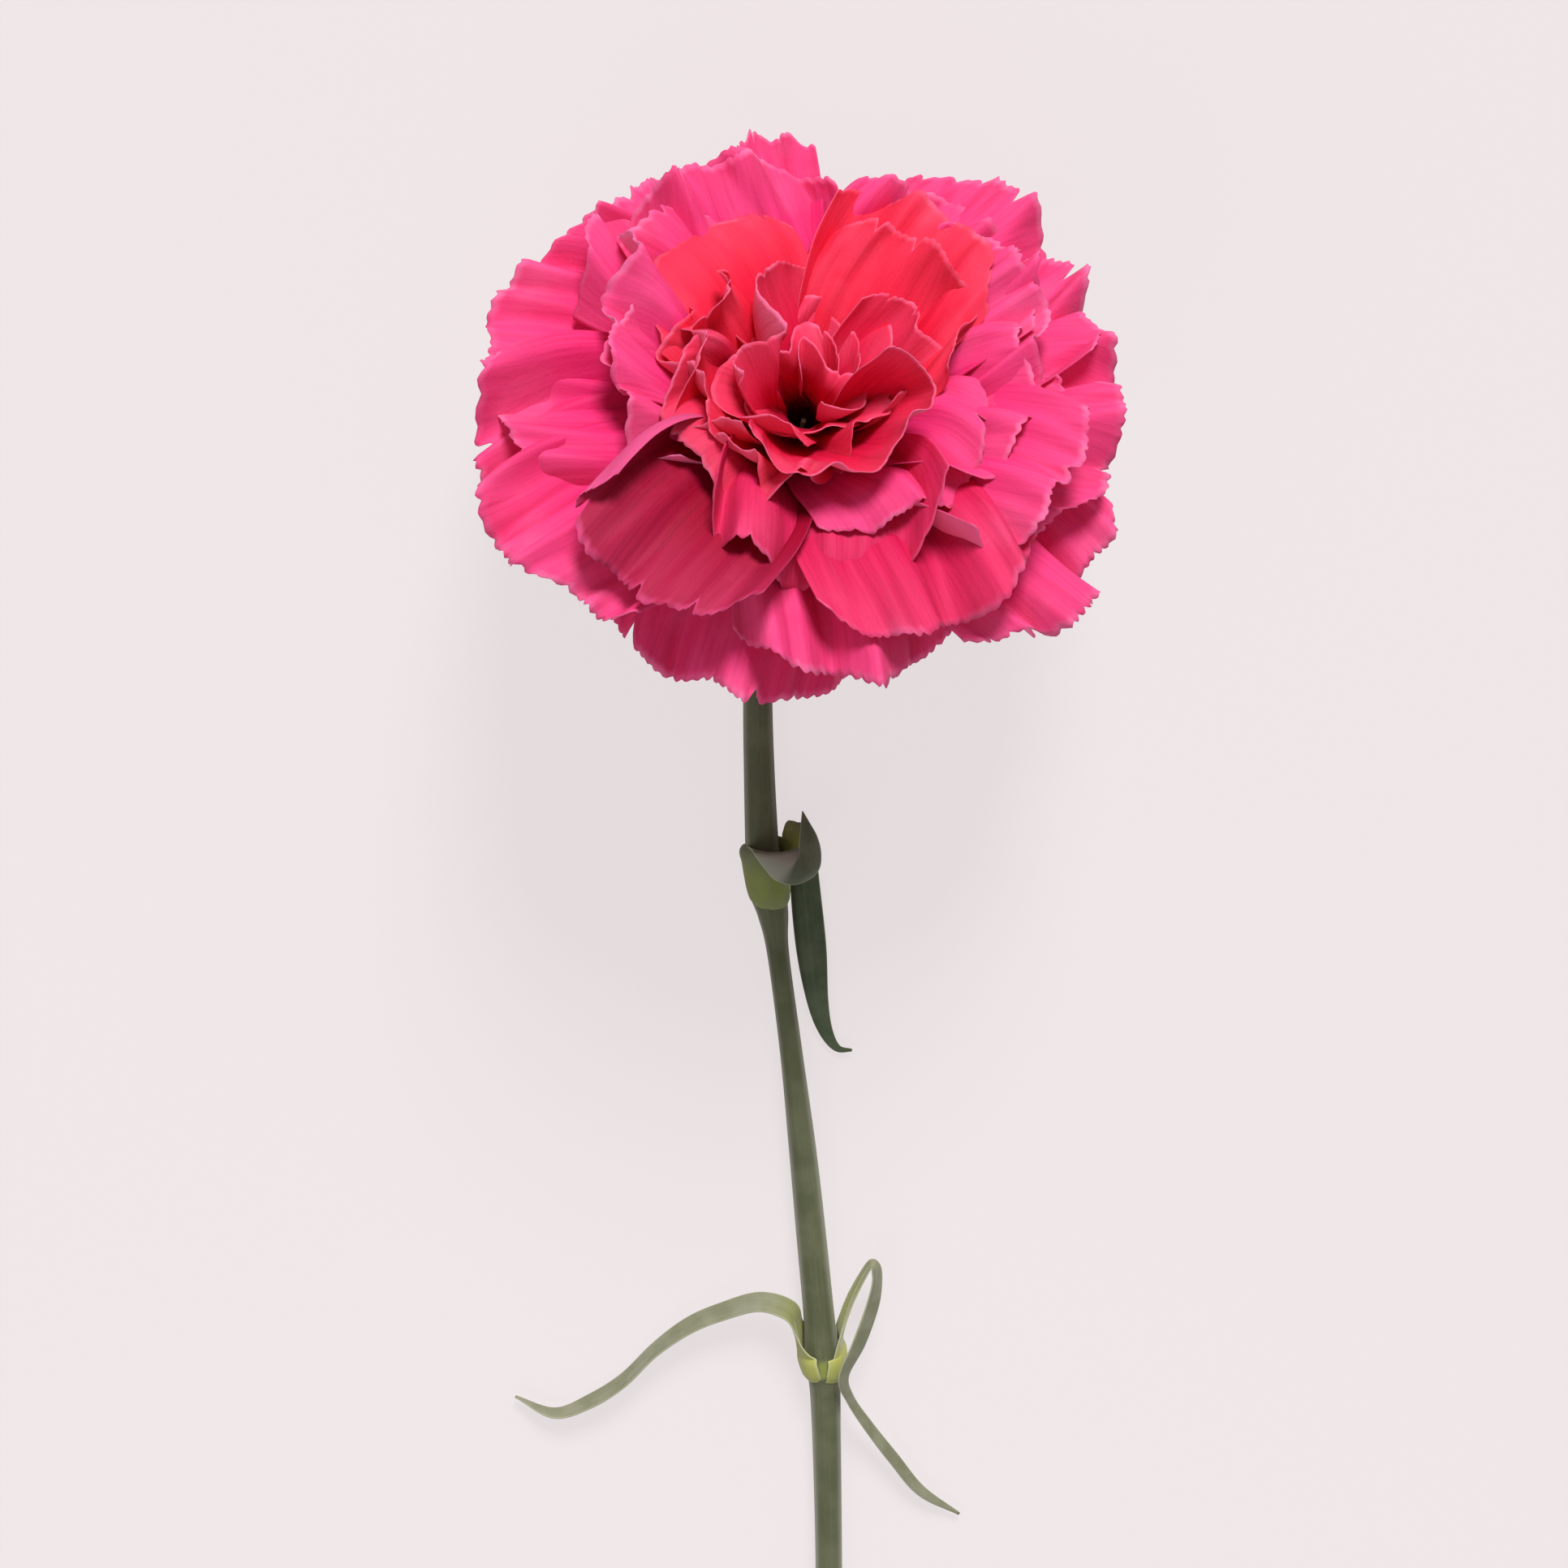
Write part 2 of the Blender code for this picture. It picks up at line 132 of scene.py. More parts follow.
def in_bloom(height, radius, azimuth):
    """Layout points from height along the axis, radius, and azimuth in radians. The heart nods up."""
    height = np.asarray(height, dtype=float)[..., None]
    radius = np.asarray(radius, dtype=float)[..., None]
    azimuth = np.asarray(azimuth, dtype=float)[..., None]
    outward = np.cos(azimuth) * RIGHT + np.sin(azimuth) * DOWN
    nod = HEART_NOD * smooth((height - CALYX_MOUTH) / 18.0) * np.exp(-((radius / HEART_RADIUS) ** 2))
    return BASE + height * AXIS + radius * outward - nod * DOWN


def lay(points):
    """Presses what would sink below the table into a thin layer on it."""
    knee = 3.2
    points = points.copy()
    pressed = knee * np.exp((points[..., 2] - knee) / knee)
    points[..., 2] = np.where(points[..., 2] < knee, pressed, points[..., 2])
    return points


# Materials ------------------------------------------------------------------------------------------


class Wire:
    """A shader socket that can be used in arithmetic."""

    def __init__(self, shop, socket):
        self.shop = shop
        self.socket = socket

    def sum_up(self, operation, first, second=None):
        return self.shop.node(
            "ShaderNodeMath", {"operation": operation}, {0: first, 1: second}, "Value"
        )

    def __add__(self, other):
        return self.sum_up("ADD", self, other)

    def __radd__(self, other):
        return self.sum_up("ADD", other, self)

    def __sub__(self, other):
        return self.sum_up("SUBTRACT", self, other)

    def __rsub__(self, other):
        return self.sum_up("SUBTRACT", other, self)

    def __mul__(self, other):
        return self.sum_up("MULTIPLY", self, other)

    def __rmul__(self, other):
        return self.sum_up("MULTIPLY", other, self)

    def __truediv__(self, other):
        return self.sum_up("DIVIDE", self, other)

    def __pow__(self, other):
        return self.sum_up("POWER", self, other)

    def above(self, low, high):
        """0 below low, 1 above high, smooth between."""
        settings = {"interpolation_type": "SMOOTHSTEP", "clamp": True}
        values = {"Value": self, "From Min": low, "From Max": high}
        return self.shop.node("ShaderNodeMapRange", settings, values, "Result")


class Finish:
    """One material's node tree."""

    def __init__(self, name):
        self.material = bpy.data.materials.new(name)
        self.material.use_nodes = True
        self.tree = self.material.node_tree
        self.tree.nodes.clear()

    def node(self, kind, settings=None, values=None, out=0):
        made = self.tree.nodes.new(kind)
        for key, value in (settings or {}).items():
            setattr(made, key, value)
        for key, value in (values or {}).items():
            if value is None:
                continue
            if isinstance(value, Wire):
                self.tree.links.new(value.socket, made.inputs[key])
            else:
                made.inputs[key].default_value = value
        return Wire(self, made.outputs[out])

    def mix(self, share, low, high, blend="MIX"):
        """Blends two colours."""
        made = self.tree.nodes.new("ShaderNodeMix")
        made.data_type = "RGBA"
        made.blend_type = blend
        for index, value in ((0, share), (6, low), (7, high)):
            if isinstance(value, Wire):
                self.tree.links.new(value.socket, made.inputs[index])
            else:
                made.inputs[index].default_value = value
        return Wire(self, made.outputs[2])

    def layout(self):
        """The piece's own map: across and along."""
        spot = self.node("ShaderNodeUVMap", {"uv_map": "Layout"}, out="UV")
        across = self.node("ShaderNodeSeparateXYZ", {}, {0: spot}, "X")
        along = self.node("ShaderNodeSeparateXYZ", {}, {0: spot}, "Y")
        return spot, across, along

    def stretched(self, spot, across, along, **values):
        """Noise on the piece's map, with its own scale each way."""
        place = self.node(
            "ShaderNodeMapping", {}, {"Vector": spot, "Scale": (across, along, 1.0)}, "Vector"
        )
        return self.node("ShaderNodeTexNoise", {}, {"Vector": place, **values}, "Fac")

    def finish(self, shader):
        end = self.tree.nodes.new("ShaderNodeOutputMaterial")
        self.tree.links.new(shader.socket, end.inputs["Surface"])
        return self.material


def tone(red, green, blue):
    """A colour as seen on a screen, 0 to 255, to the linear values that shaders take."""
    return (*[((c / 255 + 0.055) / 1.055) ** 2.4 for c in (red, green, blue)], 1.0)


def petal_finish(name, heart, body, rim, vein):
    """Petal tissue: deep at the heart, veined along the blade, pale at the toothed rim, which is partly
    painted highlight.
    """
    f = Finish(name)
    spot, across, along = f.layout()
    veins = f.stretched(spot, 70.0, 2.2, Scale=1.0, Detail=3.0, Roughness=0.6)
    broad = f.stretched(spot, 7.0, 1.6, Scale=1.0, Detail=2.0, Roughness=0.5)
    place = f.node("ShaderNodeTexCoord", out="Object")
    mottle = f.node(
        "ShaderNodeTexNoise", {}, {"Vector": place, "Scale": 90.0, "Detail": 4.0}, "Fac"
    )
    pores = f.node(
        "ShaderNodeTexNoise", {}, {"Vector": place, "Scale": 2600.0, "Detail": 2.0}, "Fac"
    )
    colour = f.mix(along.above(0.05, 0.75), heart, body)
    colour = f.mix(broad.above(0.45, 0.75) * 0.5, colour, vein)
    colour = f.mix(veins.above(0.42, 0.72) * along.above(0.1, 0.6) * 0.6, colour, vein)
    colour = f.mix(mottle.above(0.5, 0.75) * 0.2 * along, colour, rim)
    # Partly painted highlight: the pale band at the toothed rim stands partly for the paler tissue of curled
    # rims and partly for light caught on the rims.
    edge = along.above(0.965, 0.998) * (0.1 + broad.above(0.35, 0.7) * 0.4)
    colour = f.mix(along.above(0.6, 1.0) * 0.14 + edge, colour, rim)
    # The back of a petal, which has its own part of the map, is paler.
    colour = f.mix(across.above(1.3, 1.7) * 0.68, colour, rim)
    relief = veins * 0.7 + pores * 0.25 + broad * 0.6
    normal = f.node(
        "ShaderNodeBump", {}, {"Strength": 0.5, "Distance": 0.0003, "Height": relief}, "Normal"
    )
    tissue = f.node(
        "ShaderNodeBsdfPrincipled",
        {},
        {
            "Base Color": colour,
            "Roughness": 0.55 + mottle * 0.15,
            "Normal": normal,
            "Specular IOR Level": 0.14,
        },
        "BSDF",
    )
    glow = f.node("ShaderNodeBsdfTranslucent", {}, {"Color": colour, "Normal": normal}, "BSDF")
    return f.finish(f.node("ShaderNodeMixShader", {}, {0: 0.3, 1: tissue, 2: glow}, "Shader"))


def leaf_finish(name, blade, bloom, base, reach, flap=None):
    """Waxy leaf tissue: yellow-green up to reach, grey-green beyond, paler on a flap, lined along it."""
    f = Finish(name)
    spot, across, along = f.layout()
    lines = f.stretched(spot, 26.0, 1.2, Scale=1.0, Detail=2.0, Roughness=0.5)
    place = f.node("ShaderNodeTexCoord", out="Object")
    wax = f.node(
        "ShaderNodeTexNoise", {}, {"Vector": place, "Scale": 260.0, "Detail": 5.0}, "Fac"
    )
    grain = f.node(
        "ShaderNodeTexNoise", {}, {"Vector": place, "Scale": 3200.0, "Detail": 2.0}, "Fac"
    )
    colour = f.mix(along.above(reach * 0.45, reach), base, blade)
    colour = f.mix(wax.above(0.4, 0.68) * 0.32, colour, bloom)
    colour = f.mix(lines.above(0.5, 0.7) * 0.3, colour, bloom)
    if flap:
        near = (along - flap) * (along - flap)
        colour = f.mix((1.0 - near.above(0.002, 0.012)) * 0.75, colour, tone(158, 157, 142))
        colour = f.mix(along.above(0.93, 1.0) * 0.7, colour, tone(122, 102, 60))
    edge = (across - 0.5) * (across - 0.5) * 4.0
    colour = f.mix(edge.above(0.8, 1.0) * 0.5, colour, tone(186, 186, 156))
    normal = f.node(
        "ShaderNodeBump",
        {},
        {"Strength": 0.4, "Distance": 0.0002, "Height": lines * 0.9 + grain * 0.3},
        "Normal",
    )
    skin = f.node(
        "ShaderNodeBsdfPrincipled",
        {},
        {
            "Base Color": colour,
            "Roughness": 0.5 + wax * 0.2,
            "Normal": normal,
            "Specular IOR Level": 0.35,
            "Sheen Weight": 0.3,
            "Sheen Roughness": 0.35,
            "Sheen Tint": (0.86, 0.9, 0.84, 1.0),
        },
        "BSDF",
    )
    return f.finish(skin)


def stem_finish(name, body, bloom, joint):
    """Waxy stem: fine lines along it, yellow-green at the joints."""
    f = Finish(name)
    spot, across, along = f.layout()
    lines = f.stretched(spot, 34.0, 16.0, Scale=1.0, Detail=3.0, Roughness=0.55)
    place = f.node("ShaderNodeTexCoord", out="Object")
    wax = f.node(
        "ShaderNodeTexNoise", {}, {"Vector": place, "Scale": 170.0, "Detail": 5.0}, "Fac"
    )
    grain = f.node(
        "ShaderNodeTexNoise", {}, {"Vector": place, "Scale": 3000.0, "Detail": 2.0}, "Fac"
    )
    colour = f.mix(wax.above(0.4, 0.66) * 0.4, body, bloom)
    colour = f.mix(lines.above(0.5, 0.72) * 0.3, colour, bloom)
    # Painted light: the stem is painted pale along its sides and darker along its top, for the bright edges
    # that light and the waxy bloom give a round stem.
    painted_side_light = (across - 0.25) * (across - 0.25)
    colour = f.mix(painted_side_light.above(0.008, 0.034) * 0.62, colour, tone(150, 150, 134))
    for y in (NODE_UPPER_Y, NODE_LOWER_Y):
        share = stem_share(y)
        near = (along - share) * (along - share)
        colour = f.mix((1.0 - near.above(0.00003, 0.0004)) * 0.85, colour, joint)
    normal = f.node(
        "ShaderNodeBump",
        {},
        {"Strength": 0.35, "Distance": 0.0003, "Height": lines * 0.8 + grain * 0.25},
        "Normal",
    )
    skin = f.node(
        "ShaderNodeBsdfPrincipled",
        {},
        {
            "Base Color": colour,
            "Roughness": 0.55 + wax * 0.2,
            "Normal": normal,
            "Specular IOR Level": 0.25,
            "Sheen Weight": 0.35,
            "Sheen Roughness": 0.3,
            "Sheen Tint": (0.86, 0.9, 0.84, 1.0),
        },
        "BSDF",
    )
    return f.finish(skin)


def pith_finish():
    """The stem's cut face: pale wet pith in a green ring, then a browned rim."""
    f = Finish("cut face")
    spot, across, along = f.layout()
    cells = f.node(
        "ShaderNodeTexVoronoi", {"feature": "F1"}, {"Vector": spot, "Scale": 26.0}, "Distance"
    )
    colour = f.mix(along.above(0.55, 0.7), tone(206, 214, 172), tone(150, 168, 104))
    colour = f.mix(along.above(0.84, 0.98), colour, tone(112, 112, 70))
    colour = f.mix(cells.above(0.1, 0.7) * 0.35, colour, tone(176, 180, 136))
    normal = f.node(
        "ShaderNodeBump", {}, {"Strength": 0.3, "Distance": 0.0002, "Height": cells}, "Normal"
    )
    return f.finish(
        f.node(
            "ShaderNodeBsdfPrincipled",
            {},
            {"Base Color": colour, "Roughness": 0.35 + cells * 0.2, "Normal": normal},
            "BSDF",
        )
    )


# Meshes ---------------------------------------------------------------------------------------------


def piece(name, points, faces, layout, materials, nodes, face_materials=None):
    """A smooth-shaded object with its own map, riding on the flower and standing for CAD nodes."""
    mesh = bpy.data.meshes.new(name)
    mesh.from_pydata([tuple(p) for p in to_frame(points)], [], faces)
    for material in materials:
        mesh.materials.append(material)
    uv = mesh.uv_layers.new(name="Layout")
    corners = np.zeros(len(mesh.loops), dtype=np.int32)
    mesh.loops.foreach_get("vertex_index", corners)
    uv.data.foreach_set("uv", np.asarray(layout, dtype=np.float32)[corners].ravel())
    if face_materials is not None:
        mesh.polygons.foreach_set("material_index", np.asarray(face_materials, dtype=np.int32))
    shell = bmesh.new()
    shell.from_mesh(mesh)
    bmesh.ops.recalc_face_normals(shell, faces=shell.faces)
    for face in shell.faces:
        face.smooth = True
    shell.to_mesh(mesh)
    shell.free()
    made = bpy.data.objects.new(name, mesh)
    bpy.context.scene.collection.objects.link(made)
    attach(made, "root")
    if nodes:
        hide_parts(*nodes)
    return made


def grid_normals(grid):
    along = np.gradient(grid, axis=0)
    across = np.gradient(grid, axis=1)
    normals = np.cross(along, across)
    size = np.linalg.norm(normals, axis=2, keepdims=True)
    return normals / np.maximum(size, 1e-9)


def sheet(name, grid, thickness, along, material, nodes, back=0.0):
    """A closed sheet about a grid of points. Its back lies that far across on the map."""
    rows, columns = grid.shape[:2]
    offset = grid_normals(grid) * np.asarray(thickness)[..., None] / 2
    points = np.concatenate([(grid + offset).reshape(-1, 3), (grid - offset).reshape(-1, 3)])
    under = rows * columns
    a = (np.arange(rows - 1)[:, None] * columns + np.arange(columns - 1)[None, :]).ravel()
    top = np.stack([a, a + 1, a + columns + 1, a + columns], axis=1)
    faces = top.tolist() + (top[:, ::-1] + under).tolist()
    rim = list(range(columns))
    rim += [r * columns + columns - 1 for r in range(1, rows)]
    rim += [(rows - 1) * columns + c for c in range(columns - 2, -1, -1)]
    rim += [r * columns for r in range(rows - 2, 0, -1)]
    for k, start in enumerate(rim):
        end = rim[(k + 1) % len(rim)]
        faces.append([end, start, under + start, under + end])
    across = np.linspace(0, 1, columns)[None, :] + 0 * along
    layout = np.stack([across, along + 0 * across], axis=-1).reshape(-1, 2)
    layout = np.concatenate([layout, layout + [back, 0.0]])
    return piece(name, points, faces, layout, [material], nodes)


# Petals ---------------------------------------------------------------------------------------------


def blade_curve(nest, azimuth, reach, lean, droop):
    """Radius, height above the mouth and tilt after each reach along a blade."""
    steps = 30
    spread = OPENING - OPENING_BELOW * np.maximum(np.sin(azimuth), 0.0)
    spread = spread - OPENING_ABOVE * np.maximum(-np.sin(azimuth), 0.0)
    tilt_end = TILT_OUTER - TILT_SWING * np.sin(azimuth)
    tilt_end = TILT_INNER + (tilt_end - TILT_INNER) * nest**spread + lean
    fine = np.linspace(0, 1, steps + 1)[:, None, None] * reach
    tilt = tilt_end * smooth(fine / BEND_LENGTH) + droop * (fine / 38.0) ** 2
    tilt = np.radians(tilt)
    step = reach / steps
    middle = (tilt[1:] + tilt[:-1]) / 2
    out = CLAW_RADII_HIGH[0] + (CLAW_RADII_HIGH[1] - CLAW_RADII_HIGH[0]) * nest
    out = out + (np.sin(middle) * step).sum(axis=0)
    up = (np.cos(middle) * step).sum(axis=0)
    return out, up, tilt[-1]


def rim_line(across, dice, width, bite):
    """Blade length across the petal, as a share: rounded, faintly lobed, toothed and nicked."""
    line = 1 - 0.13 * np.abs(across) ** 2.6
    for waves in (1.5, 2.5, 4):
        line += 0.011 * np.cos(waves * math.pi * across + dice.uniform(0, 6))
    count = int(width / 1.15)
    phase = (across + 1) / 2 * count + 0.4 * np.sin(9 * across + dice.uniform(0, 6))
    local = phase - np.floor(phase)
    strength = np.interp(
        phase, np.arange(-1, count + 3), [dice.uniform(0.25, 1.0) for _ in range(count + 4)]
    )
    line -= bite * strength * np.abs(2 * local - 1) ** 1.5
    for _ in range(dice.randint(1, 3)):
        spot = dice.uniform(-0.8, 0.8)
        deep = dice.uniform(0.025, 0.065)
        line -= deep * np.exp(-(((across - spot) / 0.02) ** 2))
    return line


# What sets single petals apart. Keys: turn, lean and droop in degrees; long and wide as shares;
# ruffle in millimetres; cup, the edges' rise in millimetres; tip, the rim's roll in degrees, +
# towards the heart; left and right, the side edges' rolls in degrees; fold, the middle's rise, and
# pleat, the height of the folds that fan out to the rim, in millimetres; finish, its colouring.
PETAL_SHAPES = {
    1: {"turn": -2, "lean": 0, "droop": 22, "long": 1.0, "ruffle": 1.8, "cup": -2.5, "pleat": 0.5},
    2: {"turn": 4, "lean": -10, "ruffle": 2.4, "tip": 20},
    3: {"turn": 4, "lean": -4, "long": 1.02, "wide": 1.15, "ruffle": 1.8, "cup": 3.0, "pleat": 0.8},
    4: {"turn": 19, "lean": 0, "droop": 16, "long": 1.1, "ruffle": 2.4, "pleat": 0.5},
    5: {"turn": 12, "lean": -4, "long": 1.05, "wide": 0.28, "ruffle": 0.9},
    6: {"turn": -12, "lean": -4, "droop": 18, "long": 1.19, "wide": 1.1, "ruffle": 2.6, "cup": 2.5,
        "pleat": 0.8},
    7: {"turn": -4, "lean": -3, "long": 1.05, "ruffle": 2.4, "cup": 2.5},
    8: {"turn": -6, "lean": -8, "ruffle": 2.2, "pleat": 0.5},
    9: {"turn": 5, "lean": 0, "droop": 28, "long": 1.1, "wide": 0.95, "ruffle": 2.4},
    10: {"turn": -8, "lean": -10, "wide": 1.1, "ruffle": 2.2, "cup": 2.5, "pleat": 0.5},
    11: {"turn": 0, "lean": -12, "long": 0.84, "wide": 0.85, "ruffle": 2.0},
    12: {"turn": 4, "lean": -6, "droop": 14, "long": 1.08, "ruffle": 2.8, "left": 60},
    13: {"turn": 14, "lean": -6, "wide": 1.1, "ruffle": 2.0, "tip": 25},
    # Painted shade: petal 14 takes the darkest petal finish, painted in for the shade it lies in.
    14: {"turn": -9, "lean": -3, "droop": 22, "long": 1.24, "wide": 0.95, "ruffle": 1.0, "left": 185,
         "finish": "painted_shade"},
    15: {"turn": 4, "lean": -8, "ruffle": 2.4, "pleat": 0.6},
    16: {"turn": 4, "lean": -6, "ruffle": 2.4, "cup": 2.5},
    # Painted shade: petals 17 and 22 take a darker copy of the outer finish, for the shade they lie in.
    17: {"turn": 2, "lean": 0, "droop": 30, "long": 1.28, "wide": 1.05, "ruffle": 2.2, "cup": -2.0,
         "finish": "deep"},
    18: {"turn": -20, "lean": -8, "wide": 0.9, "ruffle": 1.8, "tip": -20},
    19: {"turn": -4, "lean": -10, "droop": 6, "long": 0.86, "ruffle": 2.4, "tip": 30},
    20: {"turn": 0, "lean": 6, "long": 1.05, "ruffle": 1.8, "cup": 2.0, "tip": -25, "finish": "outer"},
    21: {"turn": 14, "lean": -8, "long": 1.0, "wide": 1.05, "ruffle": 0.5, "tip": -70, "cup": -2.5},
    # Painted shade: the darker finish here stands for the shade on this lower petal.
    22: {"turn": 8, "lean": 4, "droop": 40, "long": 1.16, "wide": 1.1, "ruffle": 2.8, "fold": 3.0,
         "left": 60, "tip": -45, "finish": "deep"},
    23: {"turn": 4, "lean": -4, "wide": 1.1, "ruffle": 2.2, "tip": 30},
    24: {"turn": 10, "lean": 0, "wide": 1.1, "ruffle": 2.4, "tip": 60},
    25: {"turn": -8, "lean": 6, "droop": 26, "long": 1.1, "wide": 1.1, "ruffle": 1.4, "tip": -50,
         "finish": "outer"},
    26: {"turn": -8, "lean": -4, "long": 0.62, "wide": 0.6, "ruffle": 1.8},
    27: {"turn": -8, "lean": 8, "droop": 10, "long": 1.12, "wide": 1.2, "ruffle": 2.8, "tip": -60},
    28: {"turn": 10, "lean": 10, "long": 0.9, "wide": 0.9, "ruffle": 2.4},
    29: {"turn": 0, "lean": -4, "long": 1.0, "ruffle": 2.6, "tip": 40},
    30: {"turn": 8, "lean": 8, "droop": 10, "long": 1.22, "wide": 1.5, "ruffle": 1.2, "cup": 3.0,
         "tip": 20, "right": 130},
    31: {"lean": 10, "long": 0.85, "wide": 0.9, "ruffle": 3.0, "tip": -50, "fold": 3.0},
    32: {"turn": 6, "lean": 4, "long": 0.95, "ruffle": 3.0, "tip": -50},
    33: {"lean": 10, "long": 0.95, "wide": 0.95, "ruffle": 3.2, "tip": -60, "fold": 3.5},
    34: {"lean": 6, "long": 0.85, "wide": 0.9, "ruffle": 3.4, "tip": -40, "fold": -3.0},
    35: {"lean": 6, "long": 0.9, "wide": 0.9, "ruffle": 3.4, "tip": -70, "fold": 3.0},
    36: {"lean": 2, "long": 1.0, "wide": 0.9, "ruffle": 3.4, "tip": -60, "fold": 3.0},
}


def roll_edge(distance, start, width, angle, sign):
    """Rolls what lies beyond start on an arc: the new distance, and the rise off the blade."""
    over = np.maximum(sign * distance - start, 0.0)
    radius = width / math.radians(angle)
    bent = sign * (start + radius * np.sin(over / radius))
    rise = radius * (1 - np.cos(over / radius))
    return np.where(over > 0, bent, distance), np.where(over > 0, rise, 0.0)


def petal_shape(index, dice):
    """One petal's own shape: chance for all, then what is listed."""
    inner = index >= 17
    shape = {
        "turn": dice.uniform(-5, 5),
        "lean": dice.uniform(-9, 7) if inner else dice.uniform(-4, 4),
        "droop": dice.uniform(4, 14),
        "long": dice.uniform(0.95, 1.04),
        "wide": dice.uniform(0.95, 1.1),
        "ruffle": dice.uniform(2.4, 3.6) if inner else dice.uniform(1.8, 2.6),
        "cup": dice.uniform(-2.0, 3.5),
        "fold": dice.uniform(-3.5, 3.5) if inner else 0.0,
        "tip": dice.uniform(-70, 50) if inner else 0.0,
        "left": 0.0,
        "right": 0.0,
        "pleat": 0.3,
        "finish": "outer" if index < 17 else "middle" if index < 25 else "heart",
    }
    shape.update(PETAL_SHAPES.get(index + 1, {}))
    return shape


def build_petal(index, finishes):
    """One petal: a claw in the calyx and a ruffled, toothed blade."""
    dice = random.Random(900 + index)
    shape = petal_shape(index, dice)
    nest = 1 - index / (PETALS - 1)
    centre = math.radians(FIRST_AZIMUTH + GOLDEN_ANGLE * index + shape["turn"])
    length = BLADE_LENGTHS[0] + (BLADE_LENGTHS[1] - BLADE_LENGTHS[0]) * nest**0.8
    widest = HALF_WIDTHS[0] + (HALF_WIDTHS[1] - HALF_WIDTHS[0]) * nest**0.8
    length *= shape["long"]
    widest *= shape["wide"]
    rows, columns = ((34, 120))
    across = np.linspace(-1, 1, columns)[None, :]
    share = (np.linspace(0, 1, rows) ** 0.9)[:, None]
    rim = rim_line(across, dice, 2 * widest, 0.012 + 0.01 * nest)
    reach = share * length * (1 + (rim - 1) * share**3)
    half = 1.3 + (widest - 1.3) * np.sin(np.minimum(share * 1.9, 1.45)) * smooth(share * 2.3)
    side = across * half

    # Ruffles grow towards the rim, wander sideways on their way there, and differ in depth.
    waves = 2 * math.pi * widest / 12.5
    wander = across + 0.16 * np.sin(4 * share + dice.uniform(0, 6)) * share
    depth = 1 + 0.5 * np.sin(3.3 * across + dice.uniform(0, 6))
    lift = dice.uniform(-2.0, 2.0) * across * share**2
    crisp = 0.25 + 0.75 * nest
    ruffles = ((0.42, 1.0, 1.2), (1.0, depth, 2.0), (2.1, 0.4 * crisp * depth, 2.4), (4.6, 0.12 * crisp, 6.0))
    for k, size, power in ruffles:
        wave = np.sin(waves * k * wander + dice.uniform(0, 6))
        lift = lift + shape["ruffle"] * size * share**power * wave
    lift = lift + dice.uniform(-0.8, 0.8) * np.sin(5 * share + 2 * across) * share
    lift = lift + shape["pleat"] * share**1.5 * np.sin(waves * 2.6 * across + 2 * np.sin(2 * across))
    lift = lift + shape["cup"] * across**2 * smooth(share * 1.3)
    lift = lift + shape["fold"] * share * (np.exp(-((across / 0.35) ** 2)) - 0.4)

    if shape["tip"]:
        reach, rise = roll_edge(reach, length * 0.72, length * 0.28, shape["tip"], 1.0)
        lift = lift + rise
    for key, sign in (("left", -1.0), ("right", 1.0)):
        if shape[key]:
            side, rise = roll_edge(side, half * 0.45, half * 0.55, shape[key], sign)
            lift = lift + rise * smooth(share * 2)

    azimuth = np.full_like(reach, centre)
    claw_limit = math.radians(21)
    limit = math.radians(82)
    for _ in range(3):
        out, up, tilt = blade_curve(nest, azimuth, reach, shape["lean"], shape["droop"])
        bound = claw_limit + (limit - claw_limit) * smooth(share * 1.8)
        azimuth = centre + bound * np.tanh(side / (out * bound))
    room = np.minimum(1.0, 0.35 + out / 30.0)
    out = out - lift * room * np.cos(tilt)
    up = up + lift * room * np.sin(tilt)
    blade = in_bloom(CALYX_MOUTH + up, np.maximum(out, 0.4), azimuth)

    claw_share = np.linspace(0, 1, 6)[:-1][:, None]
    low = CLAW_RADII_LOW[0] + (CLAW_RADII_LOW[1] - CLAW_RADII_LOW[0]) * nest
    high = CLAW_RADII_HIGH[0] + (CLAW_RADII_HIGH[1] - CLAW_RADII_HIGH[0]) * nest
    claw_out = low + (high - low) * claw_share + 0 * across
    claw_up = CLAW_START + (CALYX_MOUTH - CLAW_START) * claw_share + 0 * across
    claw_half = 0.8 + 0.5 * claw_share
    claw_turn = claw_limit * np.tanh(across * claw_half / (claw_out * claw_limit))
    claw = in_bloom(claw_up, claw_out, centre + claw_turn)
    grid = lay(np.concatenate([claw, blade]))
    along = np.concatenate([0 * claw_share, share])
    thickness = PETAL_THICKNESS * (1.15 - 0.6 * along) + 0 * across
    name = f"petal_{index + 1:02d}"
    sheet(f"{name}_blade", grid, thickness, along, finishes[shape["finish"]], [name], 2.0)


